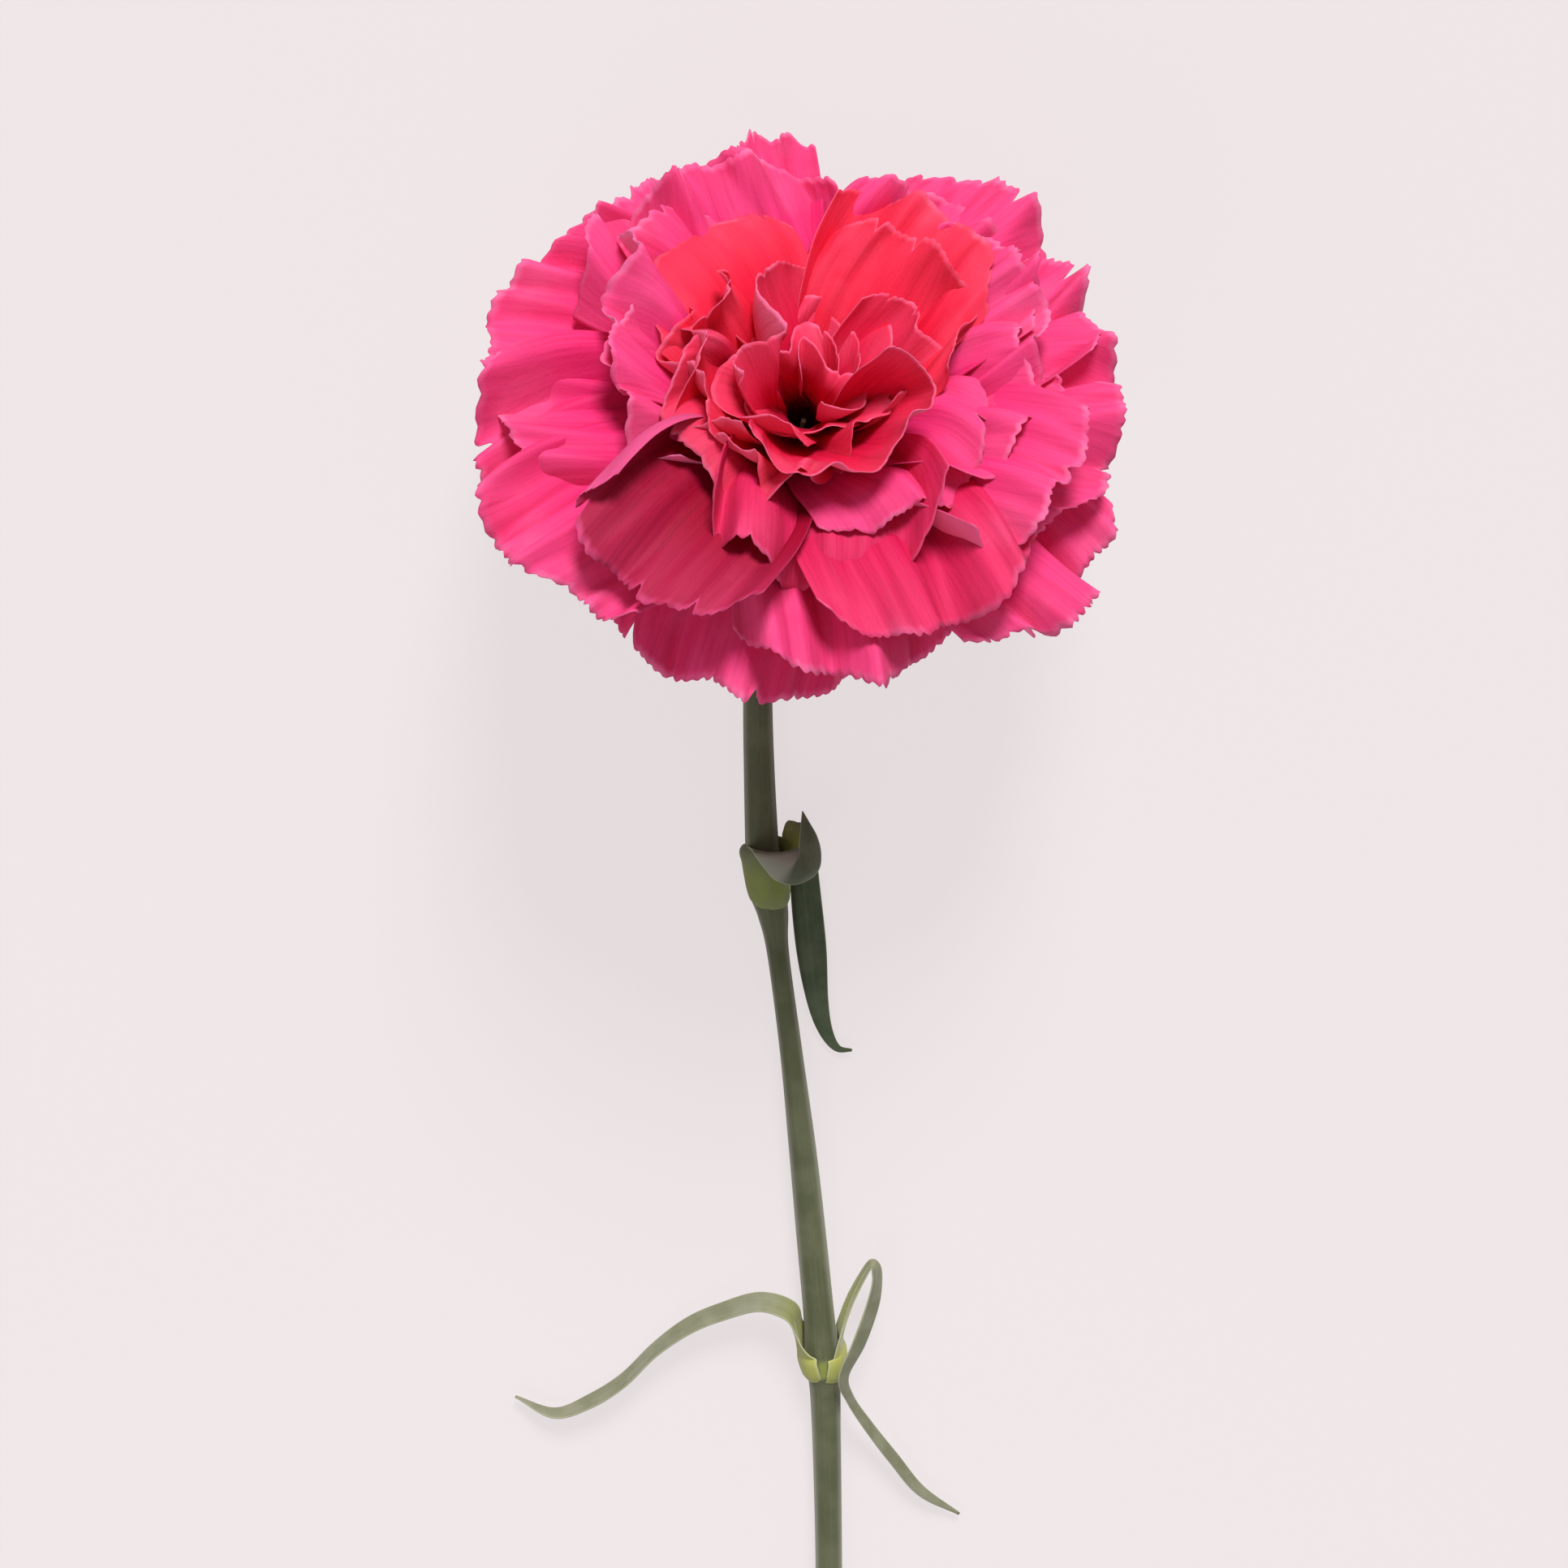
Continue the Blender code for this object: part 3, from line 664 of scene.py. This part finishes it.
def build_petals():
    finishes = {
        "outer": petal_finish(
            "petal outer", tone(190, 8, 60), tone(242, 54, 130), tone(255, 150, 200), tone(216, 24, 94)
        ),
        # Painted shade: a darker copy of the outer finish, for lower petals that lie in shade under the
        # bloom.
        "deep": petal_finish(
            "petal deep painted shade", tone(166, 2, 44), tone(228, 34, 96), tone(252, 124, 178), tone(192, 12, 60)
        ),
        # Painted shade: a much darker copy of the petal colour, for the lower petal that lies in the bloom's
        # shade.
        "painted_shade": petal_finish(
            "petal shade", tone(124, 2, 30), tone(174, 12, 56), tone(252, 104, 166), tone(142, 4, 36)
        ),
        # Painted light: the middle and heart finishes are redder than the outer one, for the red glow that
        # light gains bouncing between and shining through the inner petals.
        "middle": petal_finish(
            "petal middle", tone(190, 6, 34), tone(242, 32, 70), tone(255, 128, 170), tone(218, 16, 52)
        ),
        "heart": petal_finish(
            "petal heart", tone(150, 2, 30), tone(236, 30, 80), tone(255, 140, 184), tone(202, 12, 54)
        ),
    }
    for index in range(PETALS):
        build_petal(index, finishes)


# Calyx, bracts and pistil ---------------------------------------------------------------------------


def calyx_radius(height):
    heights = [h for h, _ in CALYX_RADII]
    radii = [r for _, r in CALYX_RADII]
    return np.interp(height, heights, radii)


def tube(name, rings, layout_rings, material, nodes, cap_start=True, cap_end=True):
    """A closed body through rings of points, with a point at each end."""
    sides = len(rings[0])
    points = list(np.concatenate(rings))
    layout = list(np.concatenate(layout_rings))
    faces = []
    for ring in range(len(rings) - 1):
        for k in range(sides):
            a = ring * sides + k
            b = ring * sides + (k + 1) % sides
            faces.append([a, b, b + sides, a + sides])
    for ring, last in ((0, False), (len(rings) - 1, True)):
        middle = len(points)
        points.append(rings[ring].mean(axis=0))
        layout.append(layout_rings[ring].mean(axis=0))
        for k in range(sides):
            a = ring * sides + k
            b = ring * sides + (k + 1) % sides
            faces.append([middle, a, b] if last else [middle, b, a])
    return piece(name, np.array(points), faces, np.array(layout), [material], nodes)


def build_calyx(material):
    """A ribbed cup with five pointed teeth."""
    sides = 160
    turn = np.arange(sides) * 2 * math.pi / sides
    tooth = (0.5 + 0.5 * np.cos(TEETH * turn)) ** 1.4
    rim = CALYX_MOUTH + TOOTH_RISE * tooth
    ribs = 0.09 * np.cos(TEETH * 7 * turn)
    rings = []
    layout = []
    for share in np.concatenate([[0.0, 0.02], np.linspace(0.05, 1.0, 22)]):
        height = rim * share
        radius = calyx_radius(height) + ribs * smooth(share * 5) * (1.05 - share)
        rings.append(in_bloom(height, radius, turn))
        layout.append(np.stack([turn / 2 / math.pi, 0 * turn + share], axis=1))
    for share in np.linspace(1.0, 0.0, 14):
        height = CALYX_FLOOR + (rim - CALYX_FLOOR) * share
        rings.append(in_bloom(height, calyx_radius(height) - CALYX_WALL, turn))
        layout.append(np.stack([turn / 2 / math.pi, 0 * turn + share], axis=1))
    tube("calyx_cup", rings, layout, material, ["calyx"])


def build_bracts(material):
    """Four pointed scales at the calyx's base, two inside two."""
    for k in range(4):
        share = np.linspace(0, 1, 26)[:, None]
        across = np.linspace(-1, 1, 25)[None, :]
        width = np.sqrt(np.maximum(1.0 - share**1.7, 0.0006))
        height = 1.8 + 8.6 * share - 1.2 * share * width * np.abs(across)
        clear = 0.62 + 0.75 * (k % 2) + 0.4 * share**3
        radius = calyx_radius(height) + clear + 0 * across
        azimuth = math.radians(20 + 90 * k) + math.radians(50) * width * across
        grid = in_bloom(height, radius, azimuth)
        thickness = 0.42 * (1 - 0.6 * np.abs(across)) * (1 - 0.4 * share)
        name = f"bract_{k + 1}"
        sheet(f"{name}_scale", grid, thickness, share, material, [name])


def build_pistil(material):
    """The ovary, drawn up into styles held together."""
    sides = 24
    turn = np.arange(sides) * 2 * math.pi / sides
    rings = []
    layout = []
    profile = [(3.0, 0.5), (4.5, 1.0), (8.0, 1.2), (12.0, 0.75), (20.0, 0.4), (29.0, 0.3)]
    heights = [h for h, _ in profile]
    radii = [r for _, r in profile]
    for height in np.linspace(3.0, 29.0, 40):
        radius = np.interp(height, heights, radii) * (1 + 0.08 * np.cos(2 * turn))
        rings.append(in_bloom(height + 0 * turn, radius, turn))
        layout.append(np.stack([turn / 2 / math.pi, 0 * turn + (height - 3) / 26], axis=1))
    tube("pistil_body", rings, layout, material, ["pistil"])


# Stem and leaves ------------------------------------------------------------------------------------


def curve_through(stations, per_span):
    """Catmull-Rom interpolation of rows of numbers."""
    rows = np.array(stations, dtype=float)
    padded = np.concatenate([[2 * rows[0] - rows[1]], rows, [2 * rows[-1] - rows[-2]]])
    out = []
    for k in range(len(rows) - 1):
        a, b, c, d = padded[k : k + 4]
        for step in range(per_span):
            t = step / per_span
            out.append(
                0.5 * (2 * b + (c - a) * t + (2 * a - 5 * b + 4 * c - d) * t**2)
                + 0.5 * (3 * b - a - 3 * c + d) * t**3
            )
    out.append(rows[-1])
    return np.array(out)


def stem_stations():
    """Position and radius down the stem, from just under the calyx to the cut end."""
    top = BASE - 0.3 * AXIS
    neck = BASE - 6.5 * AXIS
    return [
        (*top, 2.0),
        (*neck, 1.7),
        (-1.7, -14.0, 3.3, 1.85),
        (-1.9, -23.0, 3.2, 1.95),
        (-1.7, -34.0, 3.2, 2.08),
        (-1.3, NODE_UPPER_Y + 5.0, 3.4, 2.3),
        (-0.7, NODE_UPPER_Y, 3.45, 2.55),
        (0.1, NODE_UPPER_Y - 4.0, 3.4, 2.1),
        (0.8, NODE_UPPER_Y - 10.0, 3.3, 1.5),
        (2.6, -75.0, 3.1, 1.55),
        (4.2, -90.0, 3.0, 1.9),
        (5.5, -104.0, 3.1, 2.1),
        (6.6, NODE_LOWER_Y + 7.0, 3.35, 2.2),
        (7.1, NODE_LOWER_Y, 3.45, 2.55),
        (7.5, NODE_LOWER_Y - 5.5, 3.1, 2.15),
        (8.0, -150.0, 2.5, 1.95),
        (8.4, STEM_END_Y, 1.95, 1.9),
    ]


STEM_SPANS = 9


def stem_share(y):
    """How far along the stem's map the stem reaches this y."""
    line = curve_through(stem_stations(), STEM_SPANS)
    return float(np.interp(-y, -line[:, 1], np.linspace(0, 1, len(line))))


def stem_axis_at(y):
    rows = np.array(stem_stations())[:, :3]
    return np.array([np.interp(-y, -rows[:, 1], rows[:, k]) for k in range(3)])


def build_stem(skin, pith):
    """A round, faintly ridged stem, swollen at its joints and cut on a slant."""
    sides = 56
    line = curve_through(stem_stations(), STEM_SPANS)
    ahead = np.gradient(line[:, :3], axis=0)
    ahead /= np.linalg.norm(ahead, axis=1, keepdims=True)
    turn = np.arange(sides) * 2 * math.pi / sides
    side = np.cross(ahead, [0.0, 0.0, 1.0])
    side /= np.linalg.norm(side, axis=1, keepdims=True)
    top = np.cross(side, ahead)
    ring = side[:, None] * np.cos(turn)[:, None] + top[:, None] * np.sin(turn)[:, None]
    ridges = 1 + 0.012 * np.cos(9 * turn) + 0.008 * np.cos(4 * turn + 1.0)
    points = line[:, None, :3] + ring * (line[:, 3:] * ridges)[..., None]
    slant = np.sin(turn)[:, None] * 1.6 * ahead[-1]
    points[-1] += slant
    rings = [points[k] for k in range(len(line))]
    layout = [
        np.stack([turn / 2 / math.pi, 0 * turn + k / (len(line) - 1)], axis=1)
        for k in range(len(line))
    ]
    made = tube("stem_body", rings, layout, skin, ["stem"])
    made.data.materials.append(pith)
    # The cut face gets its own map, from the middle to the rim, and its own finish.
    mesh = made.data
    middle = len(mesh.vertices) - 1
    uv = mesh.uv_layers["Layout"].data
    for face in mesh.polygons:
        if middle in face.vertices:
            face.material_index = 1
            face.use_smooth = False
            for loop in face.loop_indices:
                edge = mesh.loops[loop].vertex_index != middle
                angle = face.index * 2 * math.pi / sides
                uv[loop].uv = (0.5 + 0.1 * math.cos(angle), 1.0 if edge else 0.0)


def sheath(node_y, outward, length):
    """Stations of a half sheath: middle point, inward normal, half width and curl radius."""
    angle = math.radians(outward)
    away = np.array([math.cos(angle), 0.0, math.sin(angle)])
    rows = []
    for share, radius in ((0.0, 2.35), (0.3, 2.85), (0.65, SHEATH_RADIUS), (1.0, SHEATH_RADIUS)):
        y = node_y - 2.4 + length * share
        middle = stem_axis_at(y) + away * radius
        rows.append((*middle, *-away, radius * math.radians(86 - 16 * share), radius))
    return rows


def build_leaf(name, stations, material):
    """A channelled, keeled leaf swept along its stations and drawn out to a point."""
    rows = curve_through(stations, 12)
    middle = rows[:, :3]
    ahead = np.gradient(middle, axis=0)
    ahead /= np.linalg.norm(ahead, axis=1, keepdims=True)
    inward = rows[:, 3:6]
    inward = inward - ahead * (inward * ahead).sum(axis=1, keepdims=True)
    inward /= np.linalg.norm(inward, axis=1, keepdims=True)
    side = np.cross(ahead, inward)
    half = np.maximum(rows[:, 6:7], 0.06)
    curl = rows[:, 7:8]
    across = np.linspace(-1, 1, 25)[None, :]
    angle = across * half / curl
    rise = (curl * (1 - np.cos(angle)))[..., None]
    spread = (curl * np.sin(angle))[..., None]
    keel = (0.16 * np.exp(-((across * half / 0.45) ** 2)) * np.minimum(half / 2, 1))[..., None]
    grid = middle[:, None] + inward[:, None] * (rise - keel) + side[:, None] * spread
    along = np.linspace(0, 1, len(rows))[:, None]
    thickness = (0.5 - 0.32 * np.abs(across) ** 2.5) * np.minimum(1.0, 0.25 + half / 1.2)
    thickness = thickness * np.minimum(1.0, 0.2 + along * 20)
    sheet(f"{name}_blade", grid, thickness, along, material, [name])


def ring_row(y, middle, radius, start, end, count):
    """A row of points round the stem at y, between two angles in degrees, seen from its cut end."""
    turn = np.radians(np.linspace(start, end, count))
    x = middle[0] + radius * np.cos(turn)
    z = middle[1] + radius * np.sin(turn)
    return np.stack([x, 0 * x + y, z], axis=1)


def edge_row(left, right, bulge, count):
    """A row of points from one edge to the other, its middle raised."""
    t = np.linspace(0, 1, count)[:, None]
    row = np.array(left) * (1 - t) + np.array(right) * t
    row[:, 2] += bulge * (4 * t * (1 - t))[:, 0]
    return row


def build_folded_leaf(material):
    """The upper joint's near leaf: a flaring sheath, a flap folded down, and an upturned pointed end."""
    count = 25
    rows = [
        ring_row(-52.4, (-0.2, 3.4), 2.3, 236, 14, count),
        ring_row(-51.2, (-0.3, 3.42), 2.7, 230, 16, count),
        ring_row(-49.9, (-0.4, 3.45), 2.95, 224, 24, count),
        ring_row(-48.2, (-0.5, 3.45), 3.15, 218, 34, count),
        ring_row(-46.2, (-0.5, 3.45), 3.45, 212, 40, count),
        ring_row(-44.4, (-0.3, 3.4), 3.85, 205, 30, count),
        edge_row((-2.9, -43.0, 6.9), (3.9, -42.9, 6.6), 1.9, count),
        edge_row((-2.3, -43.3, 8.4), (3.9, -42.9, 8.0), 1.3, count),
        edge_row((-1.1, -44.6, 9.4), (3.8, -43.0, 9.0), 0.8, count),
        edge_row((0.4, -46.2, 9.8), (3.7, -43.1, 9.5), 0.5, count),
        edge_row((2.8, -46.9, 9.8), (3.6, -43.0, 9.7), 0.7, count),
        edge_row((5.0, -46.3, 9.3), (3.6, -42.6, 9.6), 1.0, count),
        edge_row((6.3, -45.0, 8.7), (3.6, -41.8, 9.2), 1.1, count),
        edge_row((6.5, -42.9, 8.3), (3.7, -40.9, 8.8), 1.0, count),
        edge_row((6.0, -40.7, 8.0), (3.8, -39.7, 8.3), 0.7, count),
        edge_row((5.0, -38.8, 7.7), (3.9, -38.4, 7.8), 0.3, count),
        edge_row((4.15, -37.3, 7.4), (4.0, -37.2, 7.4), 0.02, count),
    ]
    grid = curve_through([row.ravel() for row in rows], 7).reshape(-1, count, 3)
    along = np.linspace(0, 1, len(grid))[:, None]
    across = np.linspace(-1, 1, count)[None, :]
    thickness = (0.5 - 0.3 * np.abs(across) ** 3) * np.minimum(1.0, 0.2 + (1 - along) * 5)
    thickness = thickness * np.minimum(1.0, 0.2 + along * 16)
    sheet("leaf_upper_folded_blade", grid, thickness, along, material, ["leaf_upper_folded"])


def build_leaves():
    """Two leaves at each joint, on opposite sides."""
    dark = leaf_finish("leaf dark", tone(66, 80, 52), tone(110, 116, 94), tone(176, 184, 96), 0.56)
    folded = leaf_finish(
        "leaf folded", tone(80, 86, 64), tone(120, 122, 104), tone(126, 136, 66), 0.42, 0.5
    )
    grey = leaf_finish("leaf grey", tone(112, 114, 88), tone(152, 150, 132), tone(168, 170, 84), 0.48)
    hanging = sheath(NODE_UPPER_Y, -42, 6.0) + [
        (2.5, -44.2, 3.6, -0.8, 0.0, 0.5, 1.9, 4.0),
        (2.7, -42.0, 4.2, -0.4, 0.3, 0.9, 1.4, 5.0),
        (3.0, -40.9, 3.9, -0.1, 0.9, 0.5, 1.3, 6.0),
        (3.6, -41.1, 2.6, 0.1, 0.9, -0.4, 1.3, 6.0),
        (4.2, -43.5, 1.5, 0.0, 0.2, -1.0, 1.5, 7.0),
        (4.4, -50.0, 1.3, 0.0, 0.0, -1.0, 2.0, 7.0),
        (5.3, -60.0, 1.25, 0.0, 0.0, -1.0, 2.1, 7.0),
        (6.2, -68.0, 1.15, 0.0, 0.0, -1.0, 1.5, 7.0),
        (7.3, -72.6, 1.0, 0.0, 0.0, -1.0, 1.0, 7.0),
        (8.9, -75.3, 0.95, 0.0, 0.0, -1.0, 0.55, 7.0),
        (11.0, -75.7, 0.9, 0.0, 0.0, -1.0, 0.2, 7.0),
    ]
    build_leaf("leaf_upper_hanging", hanging, dark)
    build_folded_leaf(folded)
    left = sheath(NODE_LOWER_Y, 180, 5.0) + [
        (3.3, -117.8, 4.2, 1.0, 0.1, 0.2, 2.2, 4.0),
        (2.2, -114.6, 4.6, 0.6, 0.6, 0.5, 1.8, 5.0),
        (-1.9, -113.3, 4.3, 0.1, 0.75, 0.65, 1.5, 8.0),
        (-7.1, -115.1, 3.8, -0.3, 0.7, 0.6, 1.4, 9.0),
        (-11.8, -117.5, 3.5, -0.4, 0.75, 0.5, 1.4, 9.0),
        (-16.6, -121.5, 3.2, -0.55, 0.75, 0.3, 1.45, 9.0),
        (-21.3, -126.8, 2.8, -0.6, 0.75, 0.3, 1.45, 9.0),
        (-26.2, -130.5, 2.3, -0.5, 0.8, 0.3, 1.4, 9.0),
        (-31.3, -132.6, 1.8, -0.1, 1.0, 0.2, 1.1, 9.0),
        (-36.8, -130.2, 1.2, 0.4, 0.9, 0.1, 0.3, 9.0),
    ]
    build_leaf("leaf_lower_left", left, grey)
    right = sheath(NODE_LOWER_Y, 0, 5.0) + [
        (9.6, -118.5, 4.2, -1.0, 0.1, 0.1, 2.1, 4.0),
        (10.9, -113.0, 5.0, -1.0, 0.2, 0.2, 1.5, 6.0),
        (12.7, -108.3, 5.8, -0.9, 0.4, 0.2, 1.2, 9.0),
        (13.9, -106.4, 6.1, 0.0, 1.0, 0.2, 1.15, 9.0),
        (14.6, -108.2, 6.1, 0.8, 0.2, 0.6, 1.1, 9.0),
        (14.0, -112.6, 6.3, 0.6, -0.1, 0.8, 1.2, 9.0),
        (12.1, -118.6, 6.6, 0.5, -0.2, 0.85, 1.2, 9.0),
        (10.0, -123.8, 6.8, 0.6, -0.1, 0.8, 0.95, 9.0),
        (11.0, -128.4, 5.2, 0.7, 0.2, 0.7, 0.75, 9.0),
        (13.6, -133.6, 3.7, 0.6, 0.4, 0.7, 0.85, 9.0),
        (17.3, -139.6, 2.5, 0.5, 0.4, 0.8, 0.9, 9.0),
        (21.3, -145.4, 1.7, 0.5, 0.4, 0.8, 0.8, 9.0),
        (26.9, -149.7, 0.9, 0.1, 0.3, 1.0, 0.22, 9.0),
    ]
    build_leaf("leaf_lower_right", right, grey)


# Table, light and camera ----------------------------------------------------------------------------


def build_table():
    """A pale, faintly mottled table top."""
    f = Finish("pale table")
    place = f.node("ShaderNodeTexCoord", out="Object")
    cloud = f.node("ShaderNodeTexNoise", {}, {"Vector": place, "Scale": 3.0, "Detail": 3.0}, "Fac")
    colour = f.mix(cloud.above(0.3, 0.7), tone(236, 229, 229), tone(239, 231, 232))
    paint = f.node(
        "ShaderNodeBsdfPrincipled",
        {},
        {"Base Color": colour, "Roughness": 0.9, "Specular IOR Level": 0.1},
        "BSDF",
    )
    # Seen directly, the table glows a little of its own, which lifts its shadows.
    glow = f.node("ShaderNodeEmission", {}, {"Color": tone(237, 229, 230)}, "Emission")
    seen = f.node("ShaderNodeLightPath", out="Is Camera Ray")
    material = f.finish(
        f.node("ShaderNodeMixShader", {}, {0: seen * 0.84, 1: paint, 2: glow}, "Shader")
    )
    mesh = bpy.data.meshes.new("table")
    half = 3.0
    corners = [(-half, -half, 0), (half, -half, 0), (half, half, 0), (-half, half, 0)]
    mesh.from_pydata(corners, [], [[0, 1, 2, 3]])
    mesh.materials.append(material)
    table = bpy.data.objects.new("table", mesh)
    bpy.context.scene.collection.objects.link(table)


def lamp(kind, name, place, energy, target):
    light = bpy.data.lights.new(name, kind)
    light.energy = energy
    made = bpy.data.objects.new(name, light)
    made.location = place
    made.rotation_mode = "QUATERNION"
    made.rotation_quaternion = (Vector(target) - Vector(place)).to_track_quat("-Z", "Y")
    bpy.context.scene.collection.objects.link(made)
    return light


def build_light():
    """Soft daylight from beyond the bloom, a weak fill from the near side and a pale backdrop."""
    world = bpy.data.worlds.new("studio")
    world.use_nodes = True
    tree = world.node_tree
    sky = tree.nodes["Background"]
    sky.inputs["Color"].default_value = (1.0, 0.985, 0.985, 1.0)
    sky.inputs["Strength"].default_value = 0.32
    backdrop = tree.nodes.new("ShaderNodeBackground")
    backdrop.inputs["Color"].default_value = tone(237, 229, 230)
    path = tree.nodes.new("ShaderNodeLightPath")
    choice = tree.nodes.new("ShaderNodeMixShader")
    tree.links.new(path.outputs["Is Camera Ray"], choice.inputs[0])
    tree.links.new(sky.outputs[0], choice.inputs[1])
    tree.links.new(backdrop.outputs[0], choice.inputs[2])
    tree.links.new(choice.outputs[0], tree.nodes["World Output"].inputs["Surface"])
    bpy.context.scene.world = world
    bloom = tuple(to_frame(BASE + 34 * AXIS))
    lamp("SUN", "window", (0.15, 1.25, 0.76), 3.9, bloom).angle = math.radians(17)
    lamp("AREA", "fill", (-0.5, -0.7, 1.1), 4.0, bloom).size = 0.9


def build_camera():
    data = bpy.data.cameras.new("camera")
    data.lens = CAMERA_LENS
    data.sensor_width = CAMERA_SENSOR
    made = bpy.data.objects.new("camera", data)
    back = np.array([0.0, math.sin(CAMERA_TILT), math.cos(CAMERA_TILT)])
    below = np.array([0.0, -math.cos(CAMERA_TILT), math.sin(CAMERA_TILT)])
    mouth = BASE + 28 * AXIS
    aim = mouth + AIM_LEFT * np.array([-1.0, 0.0, 0.0]) + AIM_BELOW * below
    made.location = to_frame(aim + CAMERA_REACH * back)
    made.rotation_mode = "XYZ"
    made.rotation_euler = (-CAMERA_TILT, 0.0, 0.0)
    bpy.context.scene.collection.objects.link(made)
    bpy.context.scene.camera = made


skin = stem_finish("stem skin", tone(84, 88, 62), tone(112, 114, 88), tone(134, 142, 70))
cup = leaf_finish("calyx skin", tone(116, 136, 84), tone(150, 160, 124), tone(150, 160, 96), 0.3)
styles = leaf_finish("pistil skin", tone(206, 216, 170), tone(226, 230, 200), tone(160, 180, 110), 0.3)
build_stem(skin, pith_finish())
build_calyx(cup)
build_bracts(cup)
build_pistil(styles)
build_leaves()
build_petals()
build_table()
build_light()
build_camera()

bpy.context.scene.view_settings.view_transform = "Standard"
